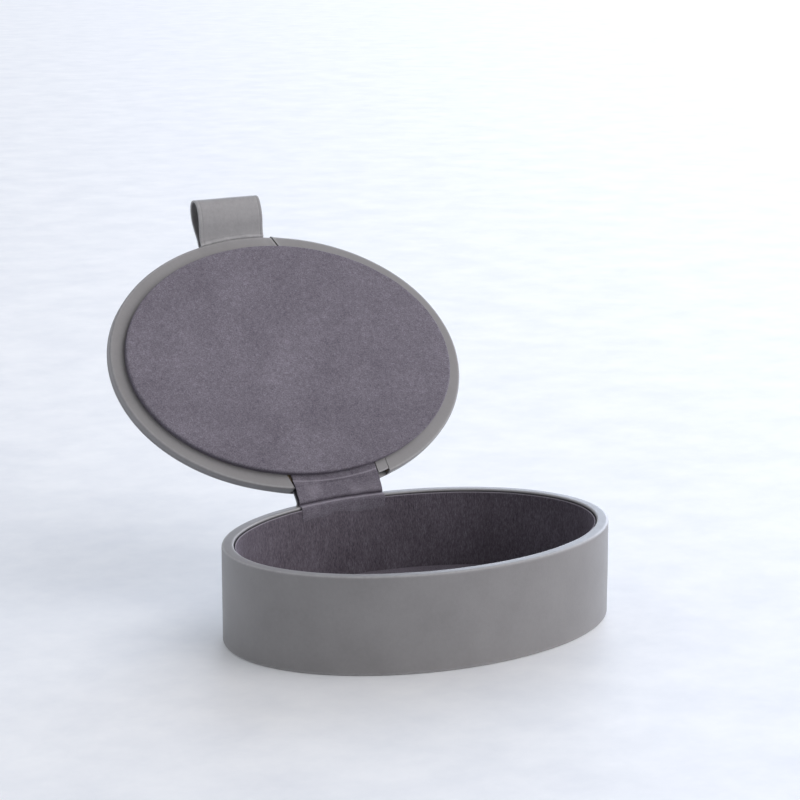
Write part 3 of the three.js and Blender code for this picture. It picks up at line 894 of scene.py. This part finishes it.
def through(places, t):
    """Points on a smooth curve through the places, for t from 0 to 1 along it."""
    steps = np.linalg.norm(np.diff(places.mean(axis=1), axis=0), axis=1) ** 0.5
    knots = np.concatenate([[0], np.cumsum(steps)])
    knots /= knots[-1]
    slopes = np.gradient(places, knots, axis=0)
    spans = np.clip(np.searchsorted(knots, t, side="right") - 1, 0, len(knots) - 2)
    width = (knots[spans + 1] - knots[spans])[:, None, None]
    share = ((t - knots[spans]) / (knots[spans + 1] - knots[spans]))[:, None, None]
    start, end = places[spans], places[spans + 1]
    bend_in, bend_out = slopes[spans] * width, slopes[spans + 1] * width
    rise = share**2 * (3 - 2 * share)
    lead = share * (1 - share) ** 2
    tail = -(share**2) * (1 - share)
    return start * (1 - rise) + end * rise + bend_in * lead + bend_out * tail


def strap_middle(places):
    """A middle surface through the places. Each is on the "box" or the "lid", and has an inset, a height,
    and the x of its left and right edges."""

    def middle(u, t):
        rows = []
        for side, inset, height, left, right in places:
            points = back_point((left + right) / 2 + u * (right - left) / 2, inset, height)
            rows.append(points if side == "box" else moved(points, swing_open))
        return through(np.array(rows), t)

    return middle


# %% A strap's section
def strip_section(half_width, edge, creases=()):
    """Across a strip: u from -1 to 1, and the side from 1, its face, to -1, its back. A crease is given as
    (how far it runs from the cut edge, its width, its depth), and runs along both edges of the face."""
    flat = 1 - edge / half_width
    u = np.linspace(-flat, flat, 33)
    for place, width, _ in creases:
        line = (half_width - place + width * np.linspace(-2, 2, 9)) / half_width
        u = np.concatenate([u, line, -line])
    u = np.unique(u.round(5))
    side = np.ones_like(u)
    for place, width, depth in creases:
        side -= depth * near(np.abs(u) * half_width, half_width - place, width)
    turn = np.linspace(0, math.pi, 7)[1:-1]
    corner_u = flat + (1 - flat) * np.sin(turn)
    corner_side = np.cos(turn)
    around_u = np.concatenate([u, corner_u, u[::-1], -corner_u])
    around_side = np.concatenate([side, corner_side, -np.ones_like(u), -corner_side])
    return around_u, around_side


def strap_loops(middle, thickness, section, t):
    """Loops round a strap. middle(u, t) gives its middle surface, as rows of t and columns of u."""
    u, side = section
    small = 1e-3
    here = middle(u, t)
    ahead, behind = middle(u, np.clip(t + small, 0, 1)), middle(u, np.clip(t - small, 0, 1))
    path = ahead - behind
    path[..., 0] = 0
    path /= np.linalg.norm(path, axis=-1, keepdims=True)
    square = np.stack([np.zeros_like(path[..., 0]), -path[..., 2], path[..., 1]], axis=-1)
    return here + square * (side * thickness / 2)[None, :, None]


def bends(middle, t):
    """How sharply a strap bends along t, in radians per millimetre, over 0 where its face is stretched."""
    path = middle(np.array([0.0]), t)[:, 0, 1:]
    step = np.diff(path, axis=0)
    length = np.linalg.norm(step, axis=1)
    heading = np.unwrap(np.arctan2(step[:, 1], step[:, 0]))
    turn = -np.diff(heading) / ((length[1:] + length[:-1]) / 2)
    return np.concatenate([[0], turn, [0]])


# %% [markdown]
# The outer strap is leather and carries the lid. It is glued between the wall and its wrap, comes up
# through the rim, and goes in between the lid's board and its top leather. Only its free stretch shows,
# from behind and as a dark sliver beside the suede. It is drawn in the same calf, darker.

# %% Leather strap
FLAP_HEIGHT = LID_TOP - LEATHER - 0.2 - LEATHER / 2
LEATHER_STRAP_HALF = 20.5
leather_surface = strap_middle(
    [
        ("box", 1.75, 26.0, -21.8, 19.2),
        ("box", 1.75, 33.0, -21.8, 19.2),
        ("box", 1.75, 36.6, -21.8, 19.2),
        ("box", 1.6, 38.4, -21.4, 19.3),
        ("lid", 0.75, FLAP_HEIGHT + 0.1, -19.9, 19.6),
        ("lid", 3.5, FLAP_HEIGHT, -19.9, 19.8),
        ("lid", STRAP_REACH, FLAP_HEIGHT, -19.9, 19.8),
    ]
)
leather_section = strip_section(LEATHER_STRAP_HALF, 0.3, creases=[(1.5, 0.3, 0.25)])
leather_t = np.linspace(0, 1, 90)
leather_loops = strap_loops(leather_surface, LEATHER * 0.95, leather_section, leather_t)
leather_faces = skin_faces(leather_loops, False)
leather_strap = make_piece("leather_strap", leather_loops, leather_faces, strap_calf)
leather_edges = near(np.abs(leather_section[0]), 1, 0.02)
mark(leather_strap, "wear_and_highlight", np.tile(leather_edges, (len(leather_t), 1)))

# %% [markdown]
# The inner strap is suede, and it is what the eye meets. It starts on the lining, where its thinned end
# sinks into the nap, goes over the rim's inner edge, lies on the rim, folds up in a crease, bellies
# forward, turns over the edge of the lid's board, and ends behind the lid's pad. Where it is stretched over
# an edge it is painted paler, partly as scuffed nap and partly as painted highlight. Painted shade darkens
# it in its folds and where it rests on the rim under the belly, and its flattened nap is darker where it is
# glued down.

# %% Suede strap
SUEDE_STRAP_HALF = 19.7
ON_LID = LID_BOTTOM + 0.02
suede_surface = strap_middle(
    [
        ("box", LINING_FACE - 0.43, 24.2, -21.1, 18.3),
        ("box", LINING_FACE - 0.4, 28.5, -21.1, 18.3),
        ("box", LINING_FACE - 0.2, 32.0, -21.1, 18.3),
        ("box", LINING_FACE - 0.02, 34.6, -21.1, 18.3),
        ("box", LINING_FACE - 0.04, 36.6, -21.1, 18.3),
        ("box", 4.95, 37.3, -21.1, 18.3),
        ("box", 4.4, 37.42, -21.1, 18.3),
        ("box", 3.3, 37.42, -21.1, 18.3),
        ("box", 2.65, 37.75, -21.0, 18.4),
        ("box", 3.05, 38.9, -20.9, 18.5),
        ("box", 2.05, 40.5, -20.7, 18.7),
        ("box", 0.6, 42.0, -20.4, 19.0),
        ("box", -0.5, 43.5, -20.1, 19.3),
        ("lid", 3.35, ON_LID + 0.1, -19.8, 19.6),
        ("lid", 4.1, ON_LID, -19.7, 19.7),
        ("lid", 6.2, ON_LID, -19.7, 19.7),
        ("lid", 8.8, ON_LID, -19.7, 19.7),
    ]
)
suede_section = strip_section(SUEDE_STRAP_HALF, 0.25)
suede_t = np.linspace(0, 1, 190)
suede_loops = strap_loops(suede_surface, SUEDE * 0.85, suede_section, suede_t)
suede_faces = skin_faces(suede_loops, False)
suede_strap = make_piece("suede_strap", uneven(suede_loops, 0.1, 5, 9), suede_faces, lid_suede)

# %% Nap, painted highlight and painted shade of the suede strap
SOFT_SPOT = 6.5
suede_bend = bends(suede_surface, suede_t)
suede_middle = suede_loops.mean(axis=1)
suede_y, suede_z = suede_middle[:, 1], suede_middle[:, 2]
glued = np.clip((BODY_HEIGHT - 1.8 - suede_z) / 6, 0, 1)
# Painted shade on the stretch that lies on the rim, under the belly.
on_rim = near(suede_y, HALF_WIDTH - 3.4, 1.0) * near(suede_z, BODY_HEIGHT + 0.2, 0.7)
# Painted shade in concave folds.
folded = np.clip(-suede_bend * 0.35, 0, 0.6)
shade_and_pressed_nap = np.clip(folded + 0.42 * glued + 0.75 * on_rim, 0.14, 0.9)
across = np.ones(len(suede_section[0]))
soft_spots = np.array([noise.noise(Vector(point) / SOFT_SPOT) for point in suede_loops.reshape(-1, 3)])
soft_spots = np.clip(soft_spots.reshape(suede_loops.shape[:2]), 0, 1) * (1 - glued)[:, None]
belly = near(suede_z, BODY_HEIGHT + 1.6, 1.6)
# Painted highlight, partly scuffed nap, on convex bends away from the belly.
stretched = np.outer(np.clip((suede_bend - 0.35) * 0.6, 0, 0.8) * (1 - belly), across)
mark(suede_strap, "rubbed_and_highlight", np.clip(stretched + 0.45 * soft_spots, 0, 1))
mark(suede_strap, "shade_and_pressed_nap", np.outer(shade_and_pressed_nap, across))
print(f"suede strap bends by up to {np.abs(suede_bend).max():.2f} radians per mm")

# %% [markdown]
# ## Pull tab
#
# The tab is one strip of the same calf leather, folded in half, with its two ends glued under the lid's
# edge. The fold doesn't close, so the tab is a loop, fattest near its free end. A crease line is pressed
# along each cut edge, as makers do with a hot tool. Near the root the front buckles in one low, wavy ridge
# that follows the lid's edge. Each half's path is a list of points: how far out from the lid's edge, and
# how far from the tab's middle plane.

# %% Path of the pull tab
TAB_LENGTH = 18.6
TAB_OPENING = 5.4
TAB_DROOP = math.radians(24)
TAB_ROOT = 9.5
TAB_MIDDLE = (LID_BOTTOM + LID_TOP) / 2
TAB_PLY = 0.9

half_gap = TAB_OPENING / 2 + TAB_PLY / 2
together = TAB_PLY / 2 + 0.03
tab_back = [
    (-TAB_ROOT, together),
    (-4.0, together),
    (0.0, together),
    (1.6, together + 0.06),
    (0.17 * TAB_LENGTH, together + 0.32),
    (0.33 * TAB_LENGTH, 0.55 * half_gap + 0.3),
    (0.6 * TAB_LENGTH, half_gap),
    (0.84 * TAB_LENGTH, 0.84 * half_gap),
    (0.945 * TAB_LENGTH, 0.48 * half_gap),
    (TAB_LENGTH - TAB_PLY / 2, 0.0),
]
RIDGE_OUT = 1.25
tab_front = [
    (-TAB_ROOT, together),
    (-4.0, together),
    (-0.3, together),
    (0.4, together + 0.2),
    (RIDGE_OUT, together + 1.2),
    (2.6, together + 1.0),
    (0.3 * TAB_LENGTH, together + 1.65),
    (0.48 * TAB_LENGTH, 0.93 * half_gap),
    (0.66 * TAB_LENGTH, half_gap),
    (0.85 * TAB_LENGTH, 0.86 * half_gap),
    (0.95 * TAB_LENGTH, 0.5 * half_gap),
]
tab_path = [(out, -high) for out, high in tab_front] + [(out, high) for out, high in tab_back[::-1]]
print("pull tab's path has", len(tab_path), "places")

# %% Pull tab
tab_pivot = Vector((TAB_X, -HALF_WIDTH, TAB_MIDDLE))
tab_turn = Matrix.Rotation(TAB_DROOP, 4, "X")
tab_droop = Matrix.Translation(tab_pivot) @ tab_turn @ Matrix.Translation(-tab_pivot)


def tab_middle(u, t):
    """The tab's middle surface, for a closed lid: level in the lid, and drooping past its edge."""
    rows = []
    for out, high in tab_path:
        x = TAB_X + u * TAB_HALF
        if out == RIDGE_OUT:
            high -= 0.18 * np.sin(x * 0.55 + 0.6) + 0.12 * np.sin(x * 1.3)
        follows_edge = np.clip(1 - (out - RIDGE_OUT) / 5, 0, 1)
        y = -HALF_WIDTH - out + follows_edge * HALF_WIDTH * (1 - np.sqrt(1 - (x / HALF_LENGTH) ** 2))
        point = np.stack([x, y, TAB_MIDDLE + high + 0 * x], axis=-1)
        drooped = moved(point, tab_droop)
        share = np.clip(out / 1.5, 0, 1)
        rows.append(point * (1 - share) + drooped * share)
    return moved(through(np.array(rows), t), swing_open)


tab_section = strip_section(TAB_HALF, 0.28, creases=[(1.5, 0.3, 0.22)])
tab_t = np.linspace(0, 1, 170)
tab_loops = strap_loops(tab_middle, TAB_PLY, tab_section, tab_t)
tab_faces = skin_faces(tab_loops, False)
pull_tab = make_piece("pull_tab", uneven(tab_loops, 0.08, 7, 10), tab_faces, grey_calf)

# %% Wear, painted highlight and painted shade of the pull tab
tab_bend = bends(tab_middle, tab_t)
tab_face = (tab_section[1] > 0) * 1.0
cut_edges = near(np.abs(tab_section[0]), 1, 0.02)
# The face's convex bends: painted highlight, partly wear. The whole tab and its cut edges: paler for wear.
tab_wear_and_highlight = np.outer(np.clip(tab_bend * 0.4, 0, 0.3), tab_face) + 0.2 + 0.5 * cut_edges
mark(pull_tab, "wear_and_highlight", np.clip(tab_wear_and_highlight, 0, 1))
# Painted shade in the face's concave bends, such as the dark line at the root.
mark(pull_tab, "painted_shade", np.outer(np.clip(-tab_bend * 0.5 - 0.04, 0, 0.5), tab_face))
print(f"pull tab bends by up to {np.abs(tab_bend).max():.2f} radians per mm")

# %% [markdown]
# ## Finishes on the hidden CAD pieces
#
# The boards, cards and foam keep their CAD shapes, which are plain cut sheets in the real case too. Only
# their materials are changed.

# %% Hidden pieces
hidden_finishes = {
    "base_floor_board": fibreboard,
    "base_wall_board": fibreboard,
    "lid_board": fibreboard,
    "wall_filler_card": grey_card,
    "floor_pad_card": grey_card,
    "lid_pad_card": grey_card,
    "floor_pad_foam": foam_sheet,
    "lid_pad_foam": foam_sheet,
}
for node_name, finish in hidden_finishes.items():
    slots = frame["nodes"][node_name].data.materials
    slots.clear()
    slots.append(finish)
print("hidden pieces finished:", len(hidden_finishes))

# %% [markdown]
# ## Joining the pieces to the case
#
# Each visible skin that rides on one body is tied to the body that it moves with, and the CAD nodes it
# stands for are hidden. The two straps and the pull tab are soft: they are built bent from one body to the
# next, and are tied to neither.

# %% Bodies and hidden nodes
riding = [
    (body_wrap, "body", "leather", ["body_leather_wrap"]),
    (wall_lining, "body", "suede", ["wall_lining_suede"]),
    (base_cover, "body", "base_cloth", ["bottom_cover"]),
    (floor_pad, "body", "suede", ["floor_pad_suede"]),
    (lid_pad, "lid", "suede", ["lid_pad_suede"]),
    (lid_top, "lid", "leather", ["lid_top_leather"]),
    (edge_strip_left, "lid", "leather", ["lid_edge_strip_left"]),
    (edge_strip_right, "lid", "leather", ["lid_edge_strip_right"]),
    (hinge_facing, "lid", "leather", ["lid_hinge_facing"]),
]
for piece, body, slot, nodes in riding:
    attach(piece, body)
    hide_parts(*nodes)
print("pieces that ride on one body:", len(riding))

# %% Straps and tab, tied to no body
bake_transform(suede_strap)
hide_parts("hinge_suede_base_flap", "hinge_suede_web", "hinge_suede_lid_flap")
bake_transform(leather_strap)
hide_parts("hinge_leather_base_flap", "hinge_leather_web", "hinge_leather_lid_flap")

tab_joint = next(joint for joint in frame["joints"] if joint["name"] == "pull_tab_flex")
tab_pin = Vector(tab_joint["pos_m"])
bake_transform(pull_tab)
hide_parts("pull_tab_root", "pull_tab_loop")

# %% [markdown]
# The pads hold foam on a card, and most of their inside is full. The lining and the suede strap are thin
# sheets glued down under light tension. Here only the path round the face of the lining is taken from its
# mesh.

# %% The path round the lining's face
lining_path = lining_loops[:, lining_outline[:, 0].argmax(), :2]

# %% [markdown]
# ## Studio
#
# The case stands on honed pale stone, such as a light marble: nearly white, faintly veined, with a wide
# dull gloss. Light sinks into such stone and comes out again a little way off, which softens the case's
# shadow. A very weak glow stands in for that.

# %% Floor
floor_material, floor_tree, floor_shader, floor_place = new_material("pale_stone")
veins = noise_of(floor_tree, floor_place, 40, detail=7, roughness=0.68)
vein_share = spread(floor_tree, veins, 0.35, 0.65)
floor_colour = blend_colour(floor_tree, vein_share, linear("#dfe1e4"), linear("#eaebec"))
floor_tree.links.new(floor_colour, floor_shader.inputs["Base Color"])
floor_shader.inputs["Roughness"].default_value = 0.55
floor_shader.inputs["Emission Color"].default_value = (0.97, 0.98, 1.0, 1.0)
floor_shader.inputs["Emission Strength"].default_value = 0.07
bpy.ops.mesh.primitive_circle_add(vertices=96, radius=6, fill_type="NGON", location=(0, 0, 0))
studio_floor = bpy.context.object
studio_floor.name = "studio_floor"
studio_floor.data.materials.append(floor_material)
print("floor:", studio_floor.name, "in", floor_material.name)

# %% [markdown]
# The light is soft daylight. Most of it comes from a wide bluish window, low behind the case on the right.
# The room in front on the right is neutral and half as bright, curtains behind and a pale wall on the left
# are dimmer, and a little light comes from everywhere. Each is a round patch of the surroundings, brightest
# in one direction and fading with the angle from it.

# %% Daylight
SOFT_PATCHES = [
    # direction, cosines where it starts and where it is full, strength, colour
    ((0.85, 0.50, 0.12), 0.80, 0.97, 4.40, (0.86, 0.97, 1.17)),  # the window
    ((0.65, -0.60, 0.45), 0.50, 0.95, 2.12, (1.00, 0.985, 1.015)),  # the room in front
    ((-0.10, 0.95, 0.30), 0.50, 0.95, 0.85, (0.94, 0.98, 1.06)),  # curtains behind
    ((-0.95, 0.10, 0.30), 0.50, 0.95, 0.60, (0.95, 0.98, 1.05)),  # a pale wall on the left
]
LIGHT_FROM_EVERYWHERE = 0.05
world = bpy.data.worlds.new("room")
bpy.context.scene.world = world
world.use_nodes = True
sky = world.node_tree
sky.nodes.clear()
way_out = add(sky, "ShaderNodeTexCoord").outputs["Generated"]
light_here = [LIGHT_FROM_EVERYWHERE] * 3
for direction, starts, full, strength, colour in SOFT_PATCHES:
    towards_inputs = {0: way_out, 1: Vector(direction).normalized()}
    towards = add(sky, "ShaderNodeVectorMath", towards_inputs, operation="DOT_PRODUCT")
    share = spread(sky, towards.outputs["Value"], starts, full)
    glow_inputs = {0: [strength * c for c in colour], "Scale": share}
    glow = add(sky, "ShaderNodeVectorMath", glow_inputs, operation="SCALE")
    sum_inputs = {0: light_here, 1: glow.outputs[0]}
    light_here = add(sky, "ShaderNodeVectorMath", sum_inputs, operation="ADD").outputs[0]
background = add(sky, "ShaderNodeBackground", {"Color": light_here, "Strength": 1.0})
add(sky, "ShaderNodeOutputWorld", {"Surface": background.outputs[0]})
bpy.context.scene.view_settings.view_transform = "Standard"
print("soft light from", len(SOFT_PATCHES), "sides")
